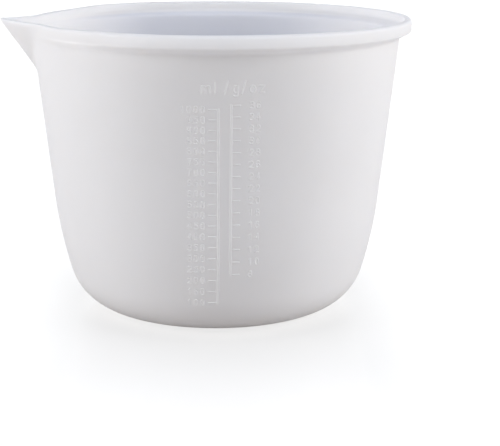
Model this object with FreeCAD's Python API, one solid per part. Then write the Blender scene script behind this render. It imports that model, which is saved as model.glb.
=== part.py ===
import FreeCAD, Part
import math
import os
from FreeCAD import Vector

# One-litre silicone mixing and casting cup with a pouring beak.
# Frame: Z up, origin at the centre of the resting face, beak towards -X,
# raised graduations on the wall that faces -Y. Millimetres.

# ---- driving dimensions -------------------------------------------------
HEIGHT = 115.4            # resting face to rim
WALL_T = 2.85             # wall thickness, measured square to the wall
BASE_T = 2.85             # floor thickness
BASE_R = 37.8             # radius of the flat resting face
HEEL_R = 21.8             # outer radius of the heel curve
HEEL_END_DEG = 16.94      # wall lean where the heel curve ends
BELLY_R = 160.7           # outer radius of the long belly curve
DRAFT_DEG = 6.49          # lean of the straight upper wall

COLLAR_R = 76.4           # outside radius of the rim collar
COLLAR_LIP_T = 2.8        # width of the collar's flat top
COLLAR_FACE_H = 4.5       # height of the collar's upright outer face
COLLAR_H = 6.9            # whole height of the collar, underside slope included
COLLAR_LEDGE_TOP = 3.0    # depth of the inside ledge's outer end below the rim
COLLAR_LEDGE_LOW = 5.3    # depth of the inside ledge's inner end below the rim
COLLAR_NARROW_R = 73.2    # outside radius of the collar beside the beak
COLLAR_NARROW_DEG = 30.0  # the collar is narrow up to this angle from the beak
COLLAR_FULL_DEG = 64.0    # and full beyond this one

BEAK_REACH = 84.8         # beak tip's distance from the axis, at rim height
BEAK_SLOPE = 0.693        # how far the keel runs inwards for each mm down
BEAK_HALF_DEG = 53.0      # half angle of the beak's V in plan
BEAK_T = 2.5              # beak wall thickness
BEAK_TIP_R = 2.4          # outside rounding of the V's point

SPLIT_Z = 44.1            # where the belly curve meets the straight wall
HEEL_Z = 15.45            # where the heel curve meets the belly curve

RELIEF = 0.45             # height of the raised marks
LINE_W = 0.75             # width of the scales' upright lines
TICK_W = 0.62             # width of the ticks
DIGIT_H = 2.80            # height of the numerals
DIGIT_W = 1.75            # width of one numeral
DIGIT_PITCH = 2.40        # from one numeral to the next
DIGIT_STROKE = 0.46       # stroke width of the numerals
UNIT_H = 4.40             # height of the unit letters' tall strokes
UNIT_W = 2.50             # width of a unit letter
UNIT_STROKE = 0.60        # stroke width of the unit letters
UNIT_BASE = 94.6          # height of the unit letters' baseline
ML_PER_OZ = 28.35
# heights of the ml marks, 1000 down to 100 in steps of 50: as the cup narrows
# downwards, each 50 ml takes a little more height than the one above
ML_HEIGHTS = [88.84, 85.08, 81.28, 77.45, 73.59, 69.70, 65.77, 61.81, 57.82, 53.79,
              49.73, 45.63, 41.50, 37.30, 33.03, 28.68, 24.25, 19.74, 15.12]

os.makedirs("parts", exist_ok=True)


# ---- outer and inner curves of the cup ----------------------------------
def wall_points():
    """Corner points of the outer curve and the arcs' middle points."""
    a, b = math.radians(DRAFT_DEG), math.radians(HEEL_END_DEG)
    heel_c = (BASE_R, HEEL_R)
    p_heel = (BASE_R + HEEL_R * math.cos(b), HEEL_R * (1 - math.sin(b)))
    belly_c = (p_heel[0] - BELLY_R * math.cos(b), p_heel[1] + BELLY_R * math.sin(b))
    p_belly = (belly_c[0] + BELLY_R * math.cos(a), belly_c[1] - BELLY_R * math.sin(a))
    return heel_c, belly_c, p_heel, p_belly


HEEL_C, BELLY_C, P_HEEL, P_BELLY = wall_points()
TAN_D = math.tan(math.radians(DRAFT_DEG))


def outer_r(z):
    """Outside radius of the wall at height z."""
    if z >= P_BELLY[1]:
        return P_BELLY[0] + (z - P_BELLY[1]) * TAN_D
    if z >= P_HEEL[1]:
        return BELLY_C[0] + math.sqrt(BELLY_R ** 2 - (z - BELLY_C[1]) ** 2)
    return HEEL_C[0] + math.sqrt(max(HEEL_R ** 2 - (z - HEEL_C[1]) ** 2, 0.0))


def outer_lean(z):
    """Lean of the wall from upright at height z, in radians."""
    if z >= P_BELLY[1]:
        return math.radians(DRAFT_DEG)
    if z >= P_HEEL[1]:
        return math.asin((BELLY_C[1] - z) / BELLY_R)
    return math.asin(min((HEEL_C[1] - z) / HEEL_R, 1.0))


def vec(r, z):
    return Vector(r, 0, z)


def arc(c, rad, a0, a1):
    """Arc in the XZ plane about c, angles in radians below the horizontal."""
    p = [vec(c[0] + rad * math.cos(t), c[1] - rad * math.sin(t))
         for t in (a0, 0.5 * (a0 + a1), a1)]
    return Part.Arc(*p).toShape()


def bowl_solid(off, z_top):
    """Solid of revolution bounded by the outer curve moved in by off."""
    a, b = math.radians(DRAFT_DEG), math.radians(HEEL_END_DEG)
    floor = BASE_T if off else 0.0
    heel = HEEL_R - off
    # the floor is level, so the inner heel curve is cut where it meets it
    t0 = math.asin(min((HEEL_C[1] - floor) / heel, 1.0)) if off else math.pi / 2
    start = vec(HEEL_C[0] + heel * math.cos(t0), floor)
    edges = [Part.LineSegment(vec(0, floor), start).toShape()]
    edges.append(arc(HEEL_C, heel, t0, b))
    edges.append(arc(BELLY_C, BELLY_R - off, b, a))
    p = edges[-1].Vertexes
    low = vec(BELLY_C[0] + (BELLY_R - off) * math.cos(a), BELLY_C[1] - (BELLY_R - off) * math.sin(a))
    top = vec(low.x + (z_top - low.z) * TAN_D, z_top)
    edges.append(Part.LineSegment(low, top).toShape())
    edges.append(Part.LineSegment(top, vec(0, z_top)).toShape())
    edges.append(Part.LineSegment(vec(0, z_top), vec(0, floor)).toShape())
    face = Part.Face(Part.Wire(Part.__sortEdges__(edges)))
    return face.revolve(Vector(0, 0, 0), Vector(0, 0, 1), 360)


def turned(points):
    """Solid of revolution from a closed polygon of (r, z) points."""
    w = Part.makePolygon([vec(*p) for p in points] + [vec(*points[0])])
    return Part.Face(w).revolve(Vector(0, 0, 0), Vector(0, 0, 1), 360)


# ---- plan outline of the collar -----------------------------------------
def collar_r(angle_from_beak):
    """Radius that trims the collar towards the beak; clear of it elsewhere."""
    u = (abs(angle_from_beak) - COLLAR_NARROW_DEG) / (COLLAR_FULL_DEG - COLLAR_NARROW_DEG)
    u = min(max(u, 0.0), 1.35)
    s = u * u * (3 - 2 * u) if u < 1 else 1 + 1.1 * (u - 1)
    return COLLAR_NARROW_R + (COLLAR_R - COLLAR_NARROW_R) * s


def outline_prism(inset, z0, z1):
    pts = []
    for i in range(90):
        f = -180.0 + 4.0 * i
        r = collar_r(f) - inset
        t = math.radians(180.0 + f)
        pts.append(Vector(r * math.cos(t), r * math.sin(t), z0))
    c = Part.BSplineCurve()
    c.interpolate(Points=pts, PeriodicFlag=True)
    return Part.Face(Part.Wire([c.toShape()])).extrude(Vector(0, 0, z1 - z0))


# ---- beak: a V swept along its keel -------------------------------------
def beak_prism(inset, tip_r, top_extra, drop):
    """V-shaped prism whose point follows the keel line."""
    h = math.radians(BEAK_HALF_DEG)
    z0 = HEIGHT + top_extra
    apex = BEAK_REACH + BEAK_SLOPE * top_extra - inset / math.sin(h)
    # centre of the rounding, with the rounded point on the keel line
    cx = -(apex - tip_r)
    if inset:
        cx = -(apex - tip_r / math.sin(h))
    px, py = tip_r * math.sin(h), tip_r * math.cos(h)
    far = 34.0
    w = far / math.tan(math.pi / 2 - h)
    a = Vector(cx - px, py, z0)
    b = Vector(cx - px, -py, z0)
    m = Vector(cx - tip_r, 0, z0)
    # side directions run inwards at the V's half angle
    da = Vector(math.cos(h), math.sin(h), 0)
    db = Vector(math.cos(h), -math.sin(h), 0)
    a2, b2 = a + da * 34.0, b + db * 34.0
    wire = Part.Wire([
        Part.Arc(b, m, a).toShape(),
        Part.LineSegment(a, a2).toShape(),
        Part.LineSegment(a2, b2).toShape(),
        Part.LineSegment(b2, b).toShape(),
    ])
    return Part.Face(wire).extrude(Vector(BEAK_SLOPE * drop, 0, -drop))


beak_out = beak_prism(0.0, BEAK_TIP_R, 0.0, 25.0)
beak_in = beak_prism(BEAK_T, 0.9, 2.0, 30.0)

# ---- whole outer body and whole cavity ----------------------------------
Z_COLLAR = HEIGHT - COLLAR_H
outer_wall = bowl_solid(0.0, Z_COLLAR)
rw = outer_r(Z_COLLAR)
collar_plug = turned([
    (0, Z_COLLAR), (rw, Z_COLLAR), (COLLAR_R - 1.3, HEIGHT - COLLAR_FACE_H - 0.9),
    (COLLAR_R, HEIGHT - COLLAR_FACE_H), (COLLAR_R, HEIGHT - 0.5), (COLLAR_R - 0.5, HEIGHT), (0, HEIGHT)])
collar_plug = collar_plug.common(outline_prism(0.0, Z_COLLAR - 1, HEIGHT + 1))

z_led = HEIGHT - COLLAR_LEDGE_LOW
ri = outer_r(z_led) - WALL_T / math.cos(math.radians(DRAFT_DEG))
inner_wall = bowl_solid(WALL_T, z_led)
rl = COLLAR_R - COLLAR_LIP_T
collar_bore = turned([
    (0, z_led), (ri, z_led), (rl - 0.1, HEIGHT - COLLAR_LEDGE_TOP), (rl, HEIGHT + 1), (0, HEIGHT + 1)])
collar_bore = collar_bore.common(outline_prism(COLLAR_LIP_T, z_led - 1, HEIGHT + 2))

cup_outer = outer_wall.fuse(collar_plug)
cup_shell = cup_outer.cut(inner_wall).cut(collar_bore).cut(beak_in)


def slab(z0, z1, r=120.0):
    return Part.makeCylinder(r, z1 - z0, Vector(0, 0, z0))


def solids(shape):
    s = [x for x in shape.Solids if x.Volume > 0.02]
    return s[0] if len(s) == 1 else Part.makeCompound(s)


nodes = {}
nodes["base_disc"] = Part.makeCylinder(BASE_R, BASE_T)
nodes["heel_curve"] = solids(cup_shell.common(slab(0, HEEL_Z)).cut(Part.makeCylinder(BASE_R, BASE_T)))
nodes["belly_wall"] = solids(cup_shell.common(slab(HEEL_Z, SPLIT_Z)))
nodes["side_wall"] = solids(cup_shell.common(slab(SPLIT_Z, Z_COLLAR)))
nodes["rim_collar"] = solids(cup_shell.common(slab(Z_COLLAR, HEIGHT + 1)))
nodes["pour_spout"] = solids(beak_out.cut(beak_in).cut(cup_outer))

# ---- raised graduations --------------------------------------------------
# a thin skin on the front of the wall, from which the marks are cut
def band_solid():
    a, b = math.radians(DRAFT_DEG), math.radians(HEEL_END_DEG)
    t0 = math.radians(45)
    z_top = 104.0

    def curve(off):
        low = vec(BELLY_C[0] + (BELLY_R + off) * math.cos(a), BELLY_C[1] - (BELLY_R + off) * math.sin(a))
        e = [arc(HEEL_C, HEEL_R + off, t0, b), arc(BELLY_C, BELLY_R + off, b, a)]
        top = vec(low.x + (z_top - low.z) * TAN_D, z_top)
        e.append(Part.LineSegment(low, top).toShape())
        first = vec(HEEL_C[0] + (HEEL_R + off) * math.cos(t0), HEEL_C[1] - (HEEL_R + off) * math.sin(t0))
        return e, first, top

    e0, f0, t_0 = curve(0.0)
    e1, f1, t_1 = curve(RELIEF)
    edges = e0 + [Part.LineSegment(t_0, t_1).toShape()] + e1 + [Part.LineSegment(f1, f0).toShape()]
    face = Part.Face(Part.Wire(Part.__sortEdges__(edges)))
    s = face.revolve(Vector(0, 0, 0), Vector(0, 0, 1), 44)
    s.rotate(Vector(0, 0, 0), Vector(0, 0, 1), -90 - 22)
    return s


BAND = band_solid()


def place(shape, deg, z):
    """Stand a mark drawn in the XZ plane on the wall at an angle from the scale's centre."""
    s = shape.copy()
    s.rotate(Vector(0, 0, 0), Vector(1, 0, 0), math.degrees(outer_lean(z)))
    s.translate(Vector(0, -outer_r(z), z))
    s.rotate(Vector(0, 0, 0), Vector(0, 0, 1), deg)
    return s.common(BAND)


def bar(x0, x1, z0, z1):
    return Part.makeBox(x1 - x0, 5.0, z1 - z0, Vector(x0, -2.5, z0))


def stroke(p, q, w):
    dx, dz = q[0] - p[0], q[1] - p[1]
    n = math.hypot(dx, dz)
    b = Part.makeBox(n, 5.0, w, Vector(0, -2.5, -w / 2))
    b.rotate(Vector(0, 0, 0), Vector(0, 1, 0), -math.degrees(math.atan2(dz, dx)))
    b.translate(Vector(p[0], 0, p[1]))
    return b


def glyph(lines, w=DIGIT_STROKE, wide=DIGIT_W, high=DIGIT_H):
    """One character from straight strokes with rounded joints, centred on its middle."""
    parts, seen = [], set()
    for line in lines:
        pts = [((x - 0.5) * (wide - w), (y - 0.5) * (high - w)) for x, y in line]
        for p, q in zip(pts, pts[1:]):
            parts.append(stroke(p, q, w))
        for p in pts:
            k = (round(p[0], 4), round(p[1], 4))
            if k not in seen:
                seen.add(k)
                parts.append(Part.makeCylinder(w / 2, 5.0, Vector(p[0], -2.5, p[1]), Vector(0, 1, 0)))
    s = parts[0].multiFuse(parts[1:]) if len(parts) > 1 else parts[0]
    return s.removeSplitter()


GLYPHS = {
    "0": [[(0.25, 0), (0.75, 0), (1, 0.2), (1, 0.8), (0.75, 1), (0.25, 1), (0, 0.8), (0, 0.2), (0.25, 0)]],
    "1": [[(0.2, 0.78), (0.58, 1), (0.58, 0)]],
    "2": [[(0, 0.8), (0.25, 1), (0.75, 1), (1, 0.82), (1, 0.6), (0, 0), (1, 0)]],
    "3": [[(0, 0.86), (0.25, 1), (0.75, 1), (1, 0.84), (1, 0.66), (0.72, 0.52), (0.4, 0.52)],
          [(0.72, 0.52), (1, 0.36), (1, 0.16), (0.75, 0), (0.25, 0), (0, 0.14)]],
    "4": [[(0.74, 0), (0.74, 1), (0, 0.3), (1, 0.3)]],
    "5": [[(0.92, 1), (0.12, 1), (0.06, 0.56), (0.7, 0.6), (1, 0.42), (1, 0.18), (0.72, 0), (0.25, 0), (0, 0.12)]],
    "6": [[(0.88, 0.9), (0.6, 1), (0.3, 0.94), (0, 0.6), (0, 0.2), (0.25, 0), (0.75, 0), (1, 0.2), (1, 0.38), (0.75, 0.56), (0.25, 0.56), (0, 0.38)]],
    "7": [[(0, 1), (1, 1), (0.36, 0)]],
    "8": [[(0.25, 0.53), (0.75, 0.53), (0.95, 0.68), (0.95, 0.85), (0.72, 1), (0.28, 1), (0.05, 0.85), (0.05, 0.68), (0.25, 0.53)],
          [(0.25, 0.53), (0, 0.36), (0, 0.16), (0.25, 0), (0.75, 0), (1, 0.16), (1, 0.36), (0.75, 0.53)]],
    "9": [[(0.12, 0.1), (0.4, 0), (0.7, 0.06), (1, 0.4), (1, 0.8), (0.75, 1), (0.25, 1), (0, 0.8), (0, 0.62), (0.25, 0.44), (0.75, 0.44), (1, 0.62)]],
    "m": [[(-0.15, 0), (-0.15, 0.66)], [(-0.15, 0.5), (0.12, 0.66), (0.42, 0.5), (0.42, 0)], [(0.42, 0.5), (0.72, 0.66), (1.0, 0.5), (1.0, 0)]],
    "l": [[(0.5, 0), (0.5, 1)]],
    "g": [[(0.9, 0.66), (0.9, -0.16), (0.62, -0.34), (0.1, -0.28)], [(0.9, 0.5), (0.62, 0.66), (0.25, 0.62), (0.05, 0.42), (0.05, 0.2), (0.25, 0.02), (0.62, 0), (0.9, 0.14)]],
    "o": [[(0.25, 0), (0.72, 0), (0.95, 0.18), (0.95, 0.48), (0.72, 0.66), (0.25, 0.66), (0.02, 0.48), (0.02, 0.18), (0.25, 0)]],
    "z": [[(0.05, 0.66), (0.92, 0.66), (0.05, 0), (0.92, 0)]],
    "/": [[(0.1, -0.12), (0.9, 1.1)]],
}
SHAPES = {k: glyph(v) for k, v in GLYPHS.items() if k.isdigit()}


def deg_at(mm, z):
    return math.degrees(mm / outer_r(z))


def number(text, left_mm, z):
    """Characters along the wall, starting left_mm from the scale's centre line."""
    return [place(SHAPES[ch], deg_at(left_mm + DIGIT_W / 2 + i * DIGIT_PITCH, z), z) for i, ch in enumerate(text)]


def collect(name, shapes):
    out = []
    for s in shapes:
        out += [x for x in s.Solids if x.Volume > 0.002]
    nodes[name] = Part.makeCompound(out)


def height_of(ml):
    """Height of a volume on the scale, between the ml marks or just past the top one."""
    i = min(max(int((1000 - ml) // 50), 0), len(ML_HEIGHTS) - 2)
    t = (1000 - ml) / 50.0 - i
    return ML_HEIGHTS[i] + t * (ML_HEIGHTS[i + 1] - ML_HEIGHTS[i])


ml_marks = [(v, height_of(v)) for v in range(1000, 99, -50)]
oz_marks = [(v, height_of(v * ML_PER_OZ)) for v in range(36, 7, -2)]


def upright(mm, z0, z1):
    """Upright line: the skin cut by a thin radial slab at a fixed distance from the centre line."""
    s = Part.makeBox(LINE_W, 40.0, z1 - z0, Vector(mm - LINE_W / 2, -80.0, z0))
    return s.common(BAND)


ML_LINE, OZ_LINE = -2.2, 2.2
# each line runs from its first mark to its last
collect("ml_scale_line", [upright(ML_LINE, ml_marks[-1][1] - TICK_W / 2, ml_marks[0][1] + TICK_W / 2)])
collect("oz_scale_line", [upright(OZ_LINE, oz_marks[-1][1] - TICK_W / 2, oz_marks[0][1] + TICK_W / 2)])

TICK_IN, TICK_OUT = 2.95, 6.0
collect("ml_scale_ticks", [place(bar(-1.5, 1.5, -TICK_W / 2, TICK_W / 2), deg_at(-(TICK_IN + TICK_OUT) / 2, z), z) for _, z in ml_marks])
collect("oz_scale_ticks", [place(bar(-1.35, 1.35, -TICK_W / 2, TICK_W / 2), deg_at((TICK_IN + TICK_OUT) / 2 - 0.25, z), z) for _, z in oz_marks])

ml_nums, oz_nums = [], []
for v, z in ml_marks:
    t = str(v)
    ml_nums += number(t, -7.1 - DIGIT_W - (len(t) - 1) * DIGIT_PITCH, z)
for v, z in oz_marks:
    oz_nums += number(str(v), 8.6, z)
collect("ml_scale_numerals", ml_nums)
collect("oz_scale_numerals", oz_nums)

ZH = UNIT_BASE + UNIT_H / 2
header = []
for ch, mm, wide in (("m", -6.6, 3.3), ("l", -3.5, UNIT_W), ("/", 0.4, 2.2), ("g", 3.8, UNIT_W), ("/", 6.6, 2.2), ("o", 9.8, 2.7), ("z", 13.1, 2.7)):
    header.append(place(glyph(GLYPHS[ch], UNIT_STROKE, wide, UNIT_H), deg_at(mm, ZH), ZH))
collect("unit_header", header)

# ---- write ---------------------------------------------------------------
total = 0.0
for name, shape in nodes.items():
    assert shape.isValid(), name
    shape.exportStep("parts/%s.step" % name)
    total += shape.Volume
    bb = shape.BoundBox
    print("%-20s solids %3d  volume %9.1f mm3  x %.1f..%.1f  y %.1f..%.1f  z %.1f..%.1f" % (
        name, len(shape.Solids), shape.Volume, bb.XMin, bb.XMax, bb.YMin, bb.YMax, bb.ZMin, bb.ZMax))
cav = bowl_solid(WALL_T, ML_HEIGHTS[0]).Volume / 1000.0
print("cavity up to the 1000 mark %.1f ml" % cav)
print("silicone volume %.1f cm3" % (total / 1000.0))
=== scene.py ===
import bpy
import bmesh
import math
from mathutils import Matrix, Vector


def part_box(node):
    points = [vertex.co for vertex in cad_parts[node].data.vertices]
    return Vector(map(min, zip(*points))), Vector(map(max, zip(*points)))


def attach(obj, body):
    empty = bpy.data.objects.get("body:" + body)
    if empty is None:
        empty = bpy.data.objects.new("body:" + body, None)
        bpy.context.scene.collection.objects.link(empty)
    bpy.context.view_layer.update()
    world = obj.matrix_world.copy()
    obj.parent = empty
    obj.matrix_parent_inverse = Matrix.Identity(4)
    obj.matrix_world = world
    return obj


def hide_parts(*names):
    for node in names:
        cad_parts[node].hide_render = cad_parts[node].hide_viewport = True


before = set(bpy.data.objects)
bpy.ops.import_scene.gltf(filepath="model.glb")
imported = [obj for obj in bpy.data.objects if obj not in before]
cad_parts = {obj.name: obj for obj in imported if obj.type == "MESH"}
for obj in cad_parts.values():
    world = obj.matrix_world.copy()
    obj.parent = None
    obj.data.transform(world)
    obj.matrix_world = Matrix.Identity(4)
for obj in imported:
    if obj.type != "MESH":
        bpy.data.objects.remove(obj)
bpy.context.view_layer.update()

MM = 0.001

# ---------------------------------------------------------------------------
# Dimensions of the cup in millimetres, in the CAD frame
# ---------------------------------------------------------------------------
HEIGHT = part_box("rim_collar")[1][2] / MM
SEAT_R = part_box("base_disc")[1][0] / MM
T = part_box("base_disc")[1][2] / MM
SPLIT_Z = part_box("side_wall")[0][2] / MM
COLLAR_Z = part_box("rim_collar")[0][2] / MM
HEEL_R, HEEL_DEG = 21.8, 16.94
BELLY_R, DRAFT = 160.7, math.radians(6.49)
COLLAR_R, LIP_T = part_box("rim_collar")[1][0] / MM, 2.8
BEAK_REACH, BEAK_SLOPE, BEAK_HALF, BEAK_T = 84.8, 0.693, math.radians(53.0), 2.5

HB = math.radians(HEEL_DEG)
HEEL_C = (SEAT_R, HEEL_R)
P_HEEL = (SEAT_R + HEEL_R * math.cos(HB), HEEL_R * (1 - math.sin(HB)))
BELLY_C = (P_HEEL[0] - BELLY_R * math.cos(HB), P_HEEL[1] + BELLY_R * math.sin(HB))
P_BELLY = (BELLY_C[0] + BELLY_R * math.cos(DRAFT), BELLY_C[1] - BELLY_R * math.sin(DRAFT))
TAN_D = math.tan(DRAFT)


def outer_r(z):
    if z >= P_BELLY[1]:
        return P_BELLY[0] + (z - P_BELLY[1]) * TAN_D
    if z >= P_HEEL[1]:
        return BELLY_C[0] + math.sqrt(BELLY_R ** 2 - (z - BELLY_C[1]) ** 2)
    return HEEL_C[0] + math.sqrt(max(HEEL_R ** 2 - (z - HEEL_C[1]) ** 2, 0.0))


def outer_lean(z):
    if z >= P_BELLY[1]:
        return DRAFT
    if z >= P_HEEL[1]:
        return math.asin((BELLY_C[1] - z) / BELLY_R)
    return math.asin(min((HEEL_C[1] - z) / HEEL_R, 1.0))


def line_r(z):
    """The straight wall's outside, carried on up through the collar."""
    return P_BELLY[0] + (z - P_BELLY[1]) * TAN_D


def line_r_in(z):
    return line_r(z) - T / math.cos(DRAFT)


# ---------------------------------------------------------------------------
# Profile of the moulding: (r, z, side) from the middle of the underside, up
# the outside, over the lip, down the inside to the middle of the floor
# ---------------------------------------------------------------------------
def lerp(a, b, t):
    return a + (b - a) * t


def fillet_path(pts, radii, seg_len):
    """Polyline through pts with each inner corner rounded, sampled about seg_len apart."""
    out = [pts[0]]
    for i in range(1, len(pts) - 1):
        p, a, b = Vector(pts[i]), Vector(pts[i - 1]), Vector(pts[i + 1])
        u, v = (a - p).normalized(), (b - p).normalized()
        ang = math.acos(max(-1, min(1, u.dot(v))))
        cut = radii[i] / math.tan(ang / 2)
        c = p + (u + v).normalized() * (radii[i] / math.sin(ang / 2))
        s, e = p + u * cut, p + v * cut
        n = max(4, int(math.ceil((math.pi - ang) / math.radians(13))))
        s_a = math.atan2(s.y - c.y, s.x - c.x)
        e_a = math.atan2(e.y - c.y, e.x - c.x)
        d = (e_a - s_a + math.pi) % (2 * math.pi) - math.pi
        for k in range(n + 1):
            t = s_a + d * k / n
            out.append((c.x + radii[i] * math.cos(t), c.y + radii[i] * math.sin(t)))
    out.append(pts[-1])
    dense = [out[0]]
    for a, b in zip(out, out[1:]):
        n = max(1, int(math.ceil(math.dist(a, b) / seg_len)))
        dense += [(lerp(a[0], b[0], k / n), lerp(a[1], b[1], k / n)) for k in range(1, n + 1)]
    return dense


def arc_pts(c, rad, a0, a1, n):
    return [(c[0] + rad * math.cos(lerp(a0, a1, k / n)), c[1] - rad * math.sin(lerp(a0, a1, k / n))) for k in range(n + 1)]


COLLAR_EDGE, LIP_EDGE = 1.35, 0.7


def build_profile():
    prof = []
    # underside: the seat, then heel and belly curves
    for r in (3.5, 8, 14, 20, 26, 31, 35):
        prof.append((r, 0.0, "o"))
    prof += [(r, z, "o") for r, z in arc_pts(HEEL_C, HEEL_R, math.pi / 2, HB, 20)]
    prof += [(r, z, "o") for r, z in arc_pts(BELLY_C, BELLY_R, HB, DRAFT, 12)][1:]
    z = P_BELLY[1]
    while z + 3.0 < 88.0:
        z += 3.0
        prof.append((line_r(z), z, "o"))
    up = fillet_path(
        [(line_r(z + 1.5), z + 1.5), (line_r(COLLAR_Z), COLLAR_Z), (COLLAR_R, HEIGHT - 4.75), (COLLAR_R, HEIGHT), (COLLAR_R - LIP_T / 2, HEIGHT)],
        [0, 1.6, 0.9, COLLAR_EDGE, 0], 1.0)
    prof += [(r, zz, "o") for r, zz in up[:-1]]
    zl = HEIGHT - 5.3
    down = fillet_path(
        [(COLLAR_R - LIP_T / 2, HEIGHT), (COLLAR_R - LIP_T, HEIGHT), (COLLAR_R - LIP_T - 0.15, HEIGHT - 3.0), (line_r_in(zl), zl), (line_r_in(90.0), 90.0)],
        [0, LIP_EDGE, 1.6, 1.5, 0], 1.0)
    prof += [(r, zz, "i") for r, zz in down]
    z = 90.0
    while z - 3.0 > P_BELLY[1]:
        z -= 3.0
        prof.append((line_r_in(z), z, "i"))
    a = arc_pts(BELLY_C, BELLY_R - T, DRAFT, HB, 12)
    prof += [(r, zz, "i") for r, zz in a]
    rin = HEEL_R - T
    t_floor = math.asin((HEEL_R - T) / rin)
    prof += [(r, zz, "i") for r, zz in arc_pts(HEEL_C, rin, HB, math.pi / 2, 18)][1:]
    for r in (35, 31, 26, 20, 14, 8, 3.5):
        prof.append((r, T, "i"))
    return prof


PROFILE = build_profile()


def smooth(x):
    x = max(0.0, min(1.0, x))
    return x * x * (3 - 2 * x)


def collar_weight(deg):
    """1 where the collar stands fully proud, falling towards the beak."""
    return lerp(0.05, 1.0, smooth((abs(deg) - 20.0) / (74.0 - 20.0)))


def lip_dip(deg):
    """How far the lip sinks near the beak, least at its very point."""
    a = abs(deg)
    neck = 0.30 * smooth(a / 5.0) * (1.0 - smooth((a - 12.0) / 8.0))
    return (lerp(0.4, 0.6, smooth(a / 14.0)) + neck) * (1.0 - smooth((a - 34.0) / 18.0))


def v_radius(apex, eps, rad):
    """Distance from the axis to a rounded V whose point is at apex, at an angle from the beak."""
    rad = min(abs(rad), math.radians(30.0))
    tt = math.tan(BEAK_HALF)
    a = apex + eps / tt
    c, s = math.cos(rad), math.sin(rad)
    k = c * c * tt * tt - s * s
    root = a * a * c * c * tt ** 4 - k * (a * a * tt * tt - eps * eps)
    return (a * c * tt * tt - math.sqrt(max(root, 0.0))) / k


def smax(a, b, k):
    h = max(k - abs(a - b), 0.0) / k
    return max(a, b) + h * h * k / 4


def surface(deg, r, z, side):
    """Final (r, z) of a profile point at an angle from the beak's direction."""
    w = collar_weight(deg)
    rad = math.radians(deg)
    r0 = r
    if side == "o":
        base = line_r(z)
        if z > COLLAR_Z - 4 and r > base:
            r = base + (r - base) * w
        if z > 84.0:
            v = v_radius(BEAK_REACH - BEAK_SLOPE * (HEIGHT - z), 1.9, rad)
            # the lip's rounded corner is carried over from the collar
            near = smooth(abs(deg) / 16.0)
            inset = (max(0.0, COLLAR_R - r0) if z > HEIGHT - COLLAR_EDGE - 1e-6 else 0.0) * lerp(0.35, 1.0, near)
            r = smax(r, v - inset, lerp(1.5, 3.2, near))
    else:
        base = line_r_in(z)
        if z > HEIGHT - 8 and r > base:
            r = base + (r - base) * w
        if z > 80.0:
            v = v_radius(BEAK_REACH - BEAK_SLOPE * (HEIGHT - z) - BEAK_T / math.sin(BEAK_HALF), 0.9, rad)
            inset = max(0.0, r0 - (COLLAR_R - LIP_T)) if z > HEIGHT - LIP_EDGE - 1e-6 else 0.0
            r = smax(r, v + inset, 2.6)
    z -= lip_dip(deg) * smooth((z - (HEIGHT - 14.0)) / 14.0)
    return r, z


def angles():
    """Angles from the beak's direction, closer together near it."""
    half, a = [0.0], 0.0
    while a < 180.0 - 1e-6:
        step = 0.4 if a < 4 else (0.8 if a < 24 else (1.4 if a < 66 else 2.0))
        a = min(180.0, a + step)
        if 180.0 - a < 0.7 * step:
            a = 180.0
        half.append(a)
    return half + [-x for x in reversed(half[1:-1])]


def cup_shell():
    degs = angles()
    me = bpy.data.meshes.new("cup_shell")
    bm = bmesh.new()
    rings = []
    for r, z, side in PROFILE:
        row = []
        for d in degs:
            rr, zz = surface(d, r, z, side)
            t = math.radians(180.0 + d)
            row.append(bm.verts.new((rr * math.cos(t) * MM, rr * math.sin(t) * MM, zz * MM)))
        rings.append(row)
    n = len(degs)
    for a, b in zip(rings, rings[1:]):
        for i in range(n):
            j = (i + 1) % n
            bm.faces.new((a[i], a[j], b[j], b[i]))
    inner = next(k for k, q in enumerate(PROFILE) if q[2] == "i")
    bm.faces.ensure_lookup_table()
    for k, f in enumerate(bm.faces):
        f.material_index = 1 if k // n >= inner else 0
    for row, z, flip in ((rings[0], 0.0, False), (rings[-1], T, True)):
        c = bm.verts.new((0, 0, z * MM))
        for i in range(n):
            j = (i + 1) % n
            f = bm.faces.new((c, row[j], row[i]) if not flip else (c, row[i], row[j]))
            f.material_index = 1 if flip else 0
    bmesh.ops.recalc_face_normals(bm, faces=bm.faces)
    for f in bm.faces:
        f.smooth = True
    bm.to_mesh(me)
    bm.free()
    o = bpy.data.objects.new("cup_shell", me)
    bpy.context.collection.objects.link(o)
    return o


# ---------------------------------------------------------------------------
# Raised marks: beads that follow the wall
# ---------------------------------------------------------------------------
ML_PER_OZ = 28.35
ML_HEIGHTS = [88.84, 85.08, 81.28, 77.45, 73.59, 69.70, 65.77, 61.81, 57.82, 53.79,
              49.73, 45.63, 41.50, 37.30, 33.03, 28.68, 24.25, 19.74, 15.12]
DIGIT_H, DIGIT_W, DIGIT_PITCH, DIGIT_STROKE = 2.80, 1.75, 2.40, 0.46
UNIT_H, UNIT_W, UNIT_STROKE, UNIT_BASE = 4.40, 2.50, 0.60, 94.6


def on_wall(x_mm, z, h, centre=None):
    """Point h proud of the wall at x_mm along it from the scale's middle."""
    a = x_mm / outer_r(z)
    lean = outer_lean(z)
    r = outer_r(z) + h * math.cos(lean)
    return Vector((r * math.sin(a), -r * math.cos(a), z - h * math.sin(lean))) * MM


def chaikin(pts, closed, times=2):
    for _ in range(times):
        new = []
        m = len(pts)
        rng = range(m if closed else m - 1)
        if not closed:
            new.append(pts[0])
        for i in rng:
            p, q = pts[i], pts[(i + 1) % m]
            new.append((0.75 * p[0] + 0.25 * q[0], 0.75 * p[1] + 0.25 * q[1]))
            new.append((0.25 * p[0] + 0.75 * q[0], 0.25 * p[1] + 0.75 * q[1]))
        if not closed:
            new.append(pts[-1])
        pts = new
    return pts


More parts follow.
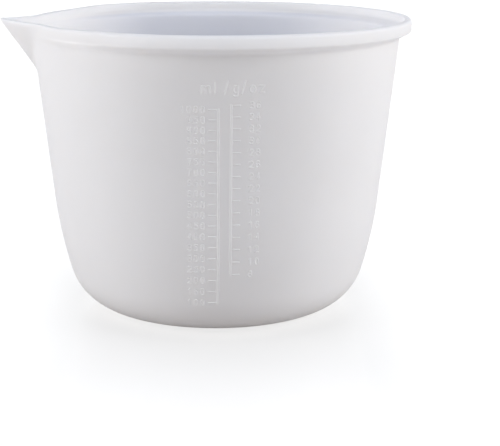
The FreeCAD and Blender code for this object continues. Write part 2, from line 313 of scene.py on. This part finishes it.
SECTION = [(-1.0, -0.25), (-0.96, 0.06), (-0.80, 0.16), (-0.42, 0.22), (0.0, 0.235), (0.42, 0.22), (0.80, 0.16), (0.96, 0.06), (1.0, -0.25)]


def bead(bm, path, width, closed=False, scale=1.0):
    """A soft-edged raised stroke along points (x along the wall, z) in mm."""
    pts = [Vector(p) for p in path]
    m = len(pts)
    half = width / 2
    stations = []
    for i, p in enumerate(pts):
        a = pts[(i - 1) % m] if (closed or i > 0) else p
        b = pts[(i + 1) % m] if (closed or i < m - 1) else p
        t = (b - a).normalized()
        stations.append((p, t, 1.0))
    if not closed:
        # rounded ends
        p, t, _ = stations[0]
        head = [(p - t * half * k, t, math.sqrt(max(1 - k * k, 0.0))) for k in (0.97, 0.8, 0.5)]
        p, t, _ = stations[-1]
        tail = [(p + t * half * k, t, math.sqrt(max(1 - k * k, 0.0))) for k in (0.5, 0.8, 0.97)]
        stations = head + stations + tail
    rows = []
    for p, t, k in stations:
        side = Vector((t.y, -t.x))
        row = []
        for u, h in SECTION:
            q = p + side * (u * half * k)
            hh = h if h < 0 else h * (0.35 + 0.65 * k)
            row.append(bm.verts.new(on_wall(q.x, q.y, hh * scale)))
        rows.append(row)
    s = len(SECTION)
    pairs = list(zip(rows, rows[1:])) + ([(rows[-1], rows[0])] if closed else [])
    for a, b in pairs:
        for i in range(s):
            j = (i + 1) % s
            bm.faces.new((a[i], a[j], b[j], b[i]))
    if not closed:
        bm.faces.new(rows[0])
        bm.faces.new(list(reversed(rows[-1])))


GLYPHS = {
    "0": [([(0.25, 0), (0.75, 0), (1, 0.2), (1, 0.8), (0.75, 1), (0.25, 1), (0, 0.8), (0, 0.2)], True)],
    "1": [([(0.2, 0.78), (0.58, 1)], False), ([(0.58, 1), (0.58, 0)], False)],
    "2": [([(0, 0.8), (0.2, 1), (0.8, 1), (1, 0.82), (1, 0.6), (0.75, 0.42), (0.02, 0)], False), ([(0.02, 0), (1, 0)], False)],
    "3": [([(0, 0.88), (0.2, 1), (0.8, 1), (0.98, 0.86), (0.98, 0.64), (0.75, 0.52), (0.4, 0.52)], False),
          ([(0.5, 0.52), (0.8, 0.50), (1, 0.36), (1, 0.14), (0.8, 0), (0.2, 0), (0, 0.12)], False)],
    "4": [([(0.74, 0), (0.74, 1)], False), ([(0.74, 1), (0, 0.3)], False), ([(0, 0.3), (1, 0.3)], False)],
    "5": [([(0.92, 1), (0.12, 1)], False), ([(0.12, 1), (0.06, 0.56)], False), ([(0.06, 0.56), (0.3, 0.64), (0.78, 0.62), (1, 0.44), (1, 0.16), (0.78, 0), (0.2, 0), (0, 0.12)], False)],
    "6": [([(0.9, 0.92), (0.65, 1), (0.3, 0.96), (0, 0.68), (0, 0.3)], False), ([(0.25, 0), (0.75, 0), (1, 0.18), (1, 0.4), (0.75, 0.58), (0.25, 0.58), (0, 0.4), (0, 0.18)], True)],
    "7": [([(0, 1), (1, 1)], False), ([(1, 1), (0.36, 0)], False)],
    "8": [([(0.25, 0.54), (0.75, 0.54), (0.95, 0.68), (0.95, 0.87), (0.75, 1), (0.25, 1), (0.05, 0.87), (0.05, 0.68)], True),
          ([(0.25, 0), (0.75, 0), (1, 0.15), (1, 0.4), (0.78, 0.54), (0.22, 0.54), (0, 0.4), (0, 0.15)], True)],
    "9": [([(0.1, 0.08), (0.35, 0), (0.7, 0.04), (1, 0.32), (1, 0.7)], False), ([(0.25, 0.42), (0.75, 0.42), (1, 0.6), (1, 0.82), (0.75, 1), (0.25, 1), (0, 0.82), (0, 0.6)], True)],
    "m": [([(-0.15, 0), (-0.15, 0.66)], False), ([(-0.15, 0.42), (0.0, 0.64), (0.28, 0.66), (0.42, 0.48), (0.42, 0)], False), ([(0.42, 0.42), (0.55, 0.64), (0.85, 0.66), (1.0, 0.48), (1.0, 0)], False)],
    "l": [([(0.5, 0), (0.5, 1)], False)],
    "g": [([(0.92, 0.64), (0.92, -0.14), (0.72, -0.33), (0.3, -0.35), (0.08, -0.25)], False), ([(0.3, 0), (0.68, 0), (0.92, 0.2), (0.92, 0.46), (0.68, 0.66), (0.3, 0.66), (0.05, 0.46), (0.05, 0.2)], True)],
    "o": [([(0.28, 0), (0.7, 0), (0.95, 0.2), (0.95, 0.46), (0.7, 0.66), (0.28, 0.66), (0.03, 0.46), (0.03, 0.2)], True)],
    "z": [([(0.05, 0.66), (0.92, 0.66)], False), ([(0.92, 0.66), (0.05, 0)], False), ([(0.05, 0), (0.92, 0)], False)],
    "/": [([(0.1, -0.12), (0.9, 1.1)], False)],
}


def glyph(bm, ch, x, z, w=DIGIT_STROKE, wide=DIGIT_W, high=DIGIT_H):
    for i, (line, closed) in enumerate(GLYPHS[ch]):
        pts = [(x + (u - 0.5) * (wide - w), z + (v - 0.5) * (high - w)) for u, v in line]
        if len(pts) > 2:
            pts = chaikin(pts, closed, 2)
        elif len(pts) == 2:
            pts = [(lerp(pts[0][0], pts[1][0], k / 3), lerp(pts[0][1], pts[1][1], k / 3)) for k in range(4)]
        # overlapping strokes differ a hair in height, so that no two tops coincide
        bead(bm, pts, w, closed, 1.0 - 0.012 * i)


def marks(name, draw):
    bm = bmesh.new()
    draw(bm)
    bmesh.ops.recalc_face_normals(bm, faces=bm.faces)
    for f in bm.faces:
        f.smooth = True
    me = bpy.data.meshes.new(name)
    bm.to_mesh(me)
    bm.free()
    o = bpy.data.objects.new(name, me)
    bpy.context.collection.objects.link(o)
    return o




def height_of(ml):
    i = min(max(int((1000 - ml) // 50), 0), len(ML_HEIGHTS) - 2)
    t = (1000 - ml) / 50.0 - i
    return ML_HEIGHTS[i] + t * (ML_HEIGHTS[i + 1] - ML_HEIGHTS[i])


ML = [(v, height_of(v)) for v in range(1000, 99, -50)]
OZ = [(v, height_of(v * ML_PER_OZ)) for v in range(36, 7, -2)]


def draw_upright(bm, x, table):
    """A scale's upright line, from its first mark to its last."""
    n = 44
    z0, z1 = table[-1][1], table[0][1]
    bead(bm, [(math.asin(x / outer_r(z)) * outer_r(z), z) for z in [lerp(z0, z1, k / n) for k in range(n + 1)]], 0.88)


def draw_ticks(bm, table, x0, x1):
    for _, z in table:
        bead(bm, [(lerp(x0, x1, k / 6), z) for k in range(7)], 0.62)


def draw_numbers(bm, table, right=None, left=None):
    for v, z in table:
        t = str(v)
        start = left if left is not None else right - DIGIT_W - (len(t) - 1) * DIGIT_PITCH
        for i, ch in enumerate(t):
            glyph(bm, ch, start + DIGIT_W / 2 + i * DIGIT_PITCH, z)


def draw_header(bm):
    for ch, x, wide in (("m", -6.6, 3.3), ("l", -3.5, UNIT_W), ("/", 0.4, 2.2), ("g", 3.8, UNIT_W), ("/", 6.6, 2.2), ("o", 9.8, 2.7), ("z", 13.1, 2.7)):
        glyph(bm, ch, x, UNIT_BASE + UNIT_H / 2, UNIT_STROKE, wide, UNIT_H)


shell = cup_shell()
pieces = {
    "ml_scale_line": marks("bead_ml_line", lambda bm: draw_upright(bm, -2.2, ML)),
    "oz_scale_line": marks("bead_oz_line", lambda bm: draw_upright(bm, 2.2, OZ)),
    "ml_scale_ticks": marks("bead_ml_ticks", lambda bm: draw_ticks(bm, ML, -5.72, -3.22)),
    "oz_scale_ticks": marks("bead_oz_ticks", lambda bm: draw_ticks(bm, OZ, 3.12, 5.32)),
    "ml_scale_numerals": marks("bead_ml_numerals", lambda bm: draw_numbers(bm, ML, right=-7.1)),
    "oz_scale_numerals": marks("bead_oz_numerals", lambda bm: draw_numbers(bm, OZ, left=8.6)),
    "unit_header": marks("bead_unit_header", draw_header),
}


# ---------------------------------------------------------------------------
# Materials
# ---------------------------------------------------------------------------
# painted light: these tones lighten the silicone for light coming through it and for cancelled shade
RIM_PAINTED_GLOW = (0.852, 0.85, 0.85)
ROOT_PAINTED_LIGHT = (0.905, 0.90, 0.90)
BEAK_PAINTED_GLOW = (0.805, 0.797, 0.797)


LOW_INSIDE_PAINTED_LIGHT = (0.88, 0.873, 0.874)


def silicone(name, base, sss, grain, inside=False):
    m = bpy.data.materials.new(name)
    m.use_nodes = True
    nt = m.node_tree
    nt.nodes.clear()
    n = nt.nodes.new
    out = n("ShaderNodeOutputMaterial")
    p = n("ShaderNodeBsdfPrincipled")
    nt.links.new(p.outputs[0], out.inputs[0])
    geo = n("ShaderNodeTexCoord")
    # faint clouding of the filled silicone
    cloud = n("ShaderNodeTexNoise")
    cloud.inputs["Scale"].default_value = 26.0
    cloud.inputs["Detail"].default_value = 3.0
    cloud.inputs["Roughness"].default_value = 0.55
    nt.links.new(geo.outputs["Object"], cloud.inputs["Vector"])
    ramp = n("ShaderNodeMapRange")
    ramp.inputs["From Min"].default_value = 0.3
    ramp.inputs["From Max"].default_value = 0.7
    nt.links.new(cloud.outputs["Fac"], ramp.inputs["Value"])
    tint = n("ShaderNodeMix")
    tint.data_type = "RGBA"
    nt.links.new(ramp.outputs["Result"], tint.inputs[0])
    tint.inputs[6].default_value = (base[0] * 0.985, base[1] * 0.983, base[2] * 0.98, 1)
    tint.inputs[7].default_value = (*base, 1)
    split = n("ShaderNodeSeparateXYZ")
    nt.links.new(geo.outputs["Object"], split.inputs[0])

    def ramp_on(axis, lo, hi, a, b):
        q = n("ShaderNodeMapRange")
        q.interpolation_type = "SMOOTHSTEP"
        for key, v in zip(("From Min", "From Max", "To Min", "To Max"), (lo * MM, hi * MM, a, b)):
            q.inputs[key].default_value = v
        nt.links.new(split.outputs[axis], q.inputs["Value"])
        return q.outputs["Result"]

    def maths(op, p, q):
        m2 = n("ShaderNodeMath")
        m2.operation = op
        for k, v in enumerate((p, q)):
            if isinstance(v, float):
                m2.inputs[k].default_value = v
            else:
                nt.links.new(v, m2.inputs[k])
        return m2.outputs[0]

    def blend(weight, below, tone_rgb):
        q = n("ShaderNodeMix")
        q.data_type = "RGBA"
        nt.links.new(weight, q.inputs[0])
        nt.links.new(below, q.inputs[6])
        q.inputs[7].default_value = (*tone_rgb, 1)
        return q.outputs[2]

    last = tint.outputs[2]
    if inside:
        # painted light: further down, the inside is painted as pale as the outside
        last = blend(ramp_on("Z", 72.0, 97.0, 1.0, 0.0), last, LOW_INSIDE_PAINTED_LIGHT)
        # painted glow: the ledge and lip, and the inside on the beak's side, are painted lighter for light through
        # the thin silicone
        last = blend(ramp_on("Z", HEIGHT - 4.6, HEIGHT - 3.7, 0.0, 1.0), last, (0.80, 0.797, 0.80))
        last = blend(ramp_on("X", -78.0, -22.0, 0.95, 0.0), last, (0.91, 0.89, 0.875))
        # painted light: the inside on the side away from the beak is painted lighter too
        last = blend(ramp_on("X", 30.0, 72.0, 0.0, 0.85), last, (0.845, 0.836, 0.84))
    else:
        clear_of_beak = ramp_on("X", -66.0, -49.0, 0.0, 1.0)
        # painted light: the collar's root is painted lighter, cancelling the shade under the collar
        root = maths("MULTIPLY", ramp_on("Z", HEIGHT - 7.7, HEIGHT - 6.1, 0.0, 1.0), ramp_on("Z", HEIGHT - 4.9, HEIGHT - 4.1, 1.0, 0.0))
        last = blend(maths("MULTIPLY", root, clear_of_beak), last, ROOT_PAINTED_LIGHT)
        # painted light: the rim band is painted lighter on its front, for light through the translucent rim
        rim_front_painted_glow = maths("MULTIPLY", ramp_on("Z", HEIGHT - 4.9, HEIGHT - 4.1, 0.0, 1.0), ramp_on("Y", -77.0, -57.0, 1.0, 0.0))
        last = blend(rim_front_painted_glow, last, RIM_PAINTED_GLOW)
        # painted light: the beak is painted lighter, for light through its thin silicone
        last = blend(maths("MULTIPLY", ramp_on("X", -79.0, -71.0, 1.0, 0.0), ramp_on("Z", 82.0, 92.0, 0.0, 1.0)), last, BEAK_PAINTED_GLOW)
    nt.links.new(last, p.inputs["Base Color"])
    # matt moulded skin: fine frosting and slightly uneven polish
    fine = n("ShaderNodeTexNoise")
    fine.inputs["Scale"].default_value = 1500.0
    fine.inputs["Detail"].default_value = 2.0
    nt.links.new(geo.outputs["Object"], fine.inputs["Vector"])
    broad = n("ShaderNodeTexNoise")
    broad.inputs["Scale"].default_value = 60.0
    broad.inputs["Detail"].default_value = 4.0
    nt.links.new(geo.outputs["Object"], broad.inputs["Vector"])
    rough = n("ShaderNodeMapRange")
    rough.inputs["From Min"].default_value = 0.25
    rough.inputs["From Max"].default_value = 0.75
    rough.inputs["To Min"].default_value = 0.46
    rough.inputs["To Max"].default_value = 0.58
    nt.links.new(broad.outputs["Fac"], rough.inputs["Value"])
    nt.links.new(rough.outputs["Result"], p.inputs["Roughness"])
    b1 = n("ShaderNodeBump")
    b1.inputs["Strength"].default_value = 0.18
    b1.inputs["Distance"].default_value = 0.00018
    nt.links.new(broad.outputs["Fac"], b1.inputs["Height"])
    b2 = n("ShaderNodeBump")
    b2.inputs["Strength"].default_value = grain
    b2.inputs["Distance"].default_value = 0.00003
    nt.links.new(fine.outputs["Fac"], b2.inputs["Height"])
    nt.links.new(b1.outputs["Normal"], b2.inputs["Normal"])
    nt.links.new(b2.outputs["Normal"], p.inputs["Normal"])
    p.inputs["Subsurface Weight"].default_value = sss
    p.inputs["Subsurface Radius"].default_value = (1.0, 0.97, 0.93)
    p.inputs["Subsurface Scale"].default_value = 0.004
    p.inputs["IOR"].default_value = 1.41
    p.inputs["Specular IOR Level"].default_value = 0.42
    return m


body_mat = silicone("silicone_frosted", (0.762, 0.757, 0.758), 1.0, 0.35)
# the inside gets a darker, bluer copy of the silicone: painted shade and painted cool top light
inside_painted_shade_mat = silicone("silicone_inside_painted_shade", (0.712, 0.724, 0.766), 1.0, 0.25, True)
mark_mat = silicone("silicone_marks", (0.768, 0.764, 0.766), 0.0, 0.3)

shell.data.materials.append(body_mat)
shell.data.materials.append(inside_painted_shade_mat)
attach(shell, "root")
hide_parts("base_disc", "heel_curve", "belly_wall", "side_wall", "rim_collar", "pour_spout")
for node, o in pieces.items():
    o.data.materials.append(mark_mat)
    # light reaches the wall through the thin clear marks
    o.visible_shadow = False
    o.visible_diffuse = False
    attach(o, "root")
    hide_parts(node)

# ---------------------------------------------------------------------------
# Stage, light and camera
# ---------------------------------------------------------------------------
FLOOR_SEEN, FLOOR_GLOW = (0.31, 0.31, 0.305), 0.74
FLOOR_CARD, CARD_GLOW = (0.485, 0.458, 0.443), 0.076


def floor():
    bm = bmesh.new()
    s = 3.0
    v = [bm.verts.new(p) for p in ((-s, -s, 0), (s, -s, 0), (s, s, 0), (-s, s, 0))]
    bm.faces.new(v)
    me = bpy.data.meshes.new("floor")
    bm.to_mesh(me)
    bm.free()
    o = bpy.data.objects.new("floor", me)
    bpy.context.collection.objects.link(o)
    m = bpy.data.materials.new("floor_white")
    m.use_nodes = True
    nt = m.node_tree
    nt.nodes.clear()
    n = nt.nodes.new
    out = n("ShaderNodeOutputMaterial")
    # seen directly: a white sweep lit from below, on which the cup leaves only a pale shade
    seen_d = n("ShaderNodeBsdfPrincipled")
    seen_d.inputs["Base Color"].default_value = (*FLOOR_SEEN, 1)
    seen_d.inputs["Roughness"].default_value = 0.16
    seen_d.inputs["IOR"].default_value = 1.35
    # a soft pool of shade on the floor in front of the cup
    place = n("ShaderNodeTexCoord")
    parts = n("ShaderNodeSeparateXYZ")
    nt.links.new(place.outputs["Object"], parts.inputs[0])
    wide = n("ShaderNodeMath")
    wide.operation = "ABSOLUTE"
    nt.links.new(parts.outputs["X"], wide.inputs[0])
    reach = n("ShaderNodeVectorMath")
    reach.operation = "LENGTH"
    nt.links.new(place.outputs["Object"], reach.inputs[0])
    shade = None
    for socket, lo, hi, a, b in ((wide.outputs[0], 0.040, 0.085, 1.0, 0.0), (parts.outputs["Y"], -0.170, -0.056, 0.0, 1.0), (parts.outputs["Y"], 0.02, 0.10, 1.0, 0.0), (reach.outputs["Value"], 0.041, 0.060, 0.15, 1.0)):
        q = n("ShaderNodeMapRange")
        q.interpolation_type = "SMOOTHSTEP"
        for key, v in zip(("From Min", "From Max", "To Min", "To Max"), (lo, hi, a, b)):
            q.inputs[key].default_value = v
        nt.links.new(socket, q.inputs["Value"])
        if shade is None:
            shade = q.outputs["Result"]
        else:
            m2 = n("ShaderNodeMath")
            m2.operation = "MULTIPLY"
            nt.links.new(shade, m2.inputs[0])
            nt.links.new(q.outputs["Result"], m2.inputs[1])
            shade = m2.outputs[0]
    pool = n("ShaderNodeMapRange")
    pool.inputs["To Min"].default_value = FLOOR_GLOW
    pool.inputs["To Max"].default_value = FLOOR_GLOW - 0.16
    nt.links.new(shade, pool.inputs["Value"])
    nt.links.new(pool.outputs["Result"], seen_d.inputs["Emission Strength"])
    seen_d.inputs["Emission Color"].default_value = (1, 1, 1, 1)
    # as a bounce for the cup: plain white card
    card = n("ShaderNodeBsdfPrincipled")
    card.inputs["Base Color"].default_value = (*FLOOR_CARD, 1)
    card.inputs["Roughness"].default_value = 0.8
    card.inputs["Emission Color"].default_value = (1, 0.96, 0.92, 1)
    card.inputs["Emission Strength"].default_value = CARD_GLOW
    lp = n("ShaderNodeLightPath")
    mx = n("ShaderNodeMixShader")
    nt.links.new(lp.outputs["Is Camera Ray"], mx.inputs[0])
    nt.links.new(card.outputs[0], mx.inputs[1])
    nt.links.new(seen_d.outputs[0], mx.inputs[2])
    nt.links.new(mx.outputs[0], out.inputs[0])
    o.data.materials.append(m)
    return o


floor()

sc = bpy.context.scene
sc.view_settings.view_transform = "Standard"
sc.view_settings.look = "None"

WORLD_FRONT, WORLD_BACK, WORLD_TOP, WORLD_ZENITH = 0.552, 0.643, 0.463, 0.8
SIDE_LIGHT = 5.85
world = bpy.data.worlds.new("studio")
sc.world = world
world.use_nodes = True
nt = world.node_tree
nt.nodes.clear()
n = nt.nodes.new
wo = n("ShaderNodeOutputWorld")
mixw = n("ShaderNodeMixShader")
lp = n("ShaderNodeLightPath")
bg_cam = n("ShaderNodeBackground")
bg_cam.inputs["Color"].default_value = (1, 1, 1, 1)
bg_cam.inputs["Strength"].default_value = 1.05
bg = n("ShaderNodeBackground")
tc = n("ShaderNodeTexCoord")
sep = n("ShaderNodeSeparateXYZ")
nt.links.new(tc.outputs["Generated"], sep.inputs[0])


def fall(socket, lo, hi, a, b):
    m = n("ShaderNodeMapRange")
    m.interpolation_type = "SMOOTHSTEP"
    for name, v in zip(("From Min", "From Max", "To Min", "To Max"), (lo, hi, a, b)):
        m.inputs[name].default_value = v
    nt.links.new(socket, m.inputs["Value"])
    return m.outputs["Result"]


# a dim room on the viewer's side, lighter behind the cup, a cooler ceiling
mul = n("ShaderNodeMath")
mul.operation = "MULTIPLY"
nt.links.new(fall(sep.outputs["Y"], -0.3, 0.9, WORLD_FRONT, WORLD_BACK), mul.inputs[0])
nt.links.new(fall(sep.outputs["Z"], 0.25, 0.95, 1.0, WORLD_TOP), mul.inputs[1])
zen = n("ShaderNodeMath")
zen.operation = "ADD"
nt.links.new(mul.outputs[0], zen.inputs[0])
nt.links.new(fall(sep.outputs["Z"], 0.90, 0.97, 0.0, WORLD_ZENITH), zen.inputs[1])
nt.links.new(zen.outputs[0], bg.inputs["Strength"])
tone = n("ShaderNodeMix")
tone.data_type = "RGBA"
tone.inputs[6].default_value = (1.0, 1.0, 1.0, 1)
tone.inputs[7].default_value = (0.86, 0.92, 1.10, 1)
nt.links.new(fall(sep.outputs["Z"], 0.1, 0.8, 0.0, 1.0), tone.inputs[0])
nt.links.new(tone.outputs[2], bg.inputs["Color"])
nt.links.new(lp.outputs["Is Camera Ray"], mixw.inputs[0])
nt.links.new(bg.outputs[0], mixw.inputs[1])
nt.links.new(bg_cam.outputs[0], mixw.inputs[2])
nt.links.new(mixw.outputs[0], wo.inputs["Surface"])


def softbox(name, azimuth, height, dist, size, watts, colour=(1, 1, 1)):
    """Soft light at an angle from the viewer's side (0 is -Y, 90 is +X), aimed at the cup."""
    d = bpy.data.lights.new(name, "AREA")
    d.shape = "RECTANGLE"
    d.size, d.size_y = size
    d.energy = watts
    d.color = colour
    o = bpy.data.objects.new(name, d)
    t = math.radians(azimuth)
    o.location = (dist * math.sin(t), -dist * math.cos(t), height)
    aim = Vector((0, 0, 0.06)) - Vector(o.location)
    o.rotation_euler = aim.to_track_quat("-Z", "Y").to_euler()
    bpy.context.collection.objects.link(o)
    return o


softbox("left", -72.0, 0.36, 0.95, (0.55, 0.6), SIDE_LIGHT)
softbox("right", 72.0, 0.36, 0.95, (0.55, 0.6), SIDE_LIGHT * 1.06)

K = 2.554                       # picture units per millimetre at the axis
D, ZC = 1500.0 / K, 167.6
PITCH, YAW, F, ROLL, AZ = 0.22698, 0.0228, 1484.8, 0.0026, math.radians(2.4)
cam_d = bpy.data.cameras.new("camera")
cam_d.sensor_fit = "HORIZONTAL"
cam_d.sensor_width = 36.0
cam_d.lens = F * 36.0 / 500.0
cam_d.clip_start = 0.01
cam_d.clip_end = 20.0
cam = bpy.data.objects.new("camera", cam_d)
bpy.context.collection.objects.link(cam)
cam.location = Vector((-D * math.sin(AZ), -D * math.cos(AZ), ZC)) * MM
h = YAW - 0.0
fwd = Vector((math.sin(h) * math.cos(PITCH), math.cos(h) * math.cos(PITCH), -math.sin(PITCH)))
c, s = math.cos(-AZ), math.sin(-AZ)
fwd = Vector((fwd.x * c - fwd.y * s, fwd.x * s + fwd.y * c, fwd.z))
q = fwd.to_track_quat("-Z", "Y")
cam.rotation_mode = "QUATERNION"
from mathutils import Quaternion
cam.rotation_quaternion = q @ Quaternion((0, 0, 1), ROLL)
sc.camera = cam
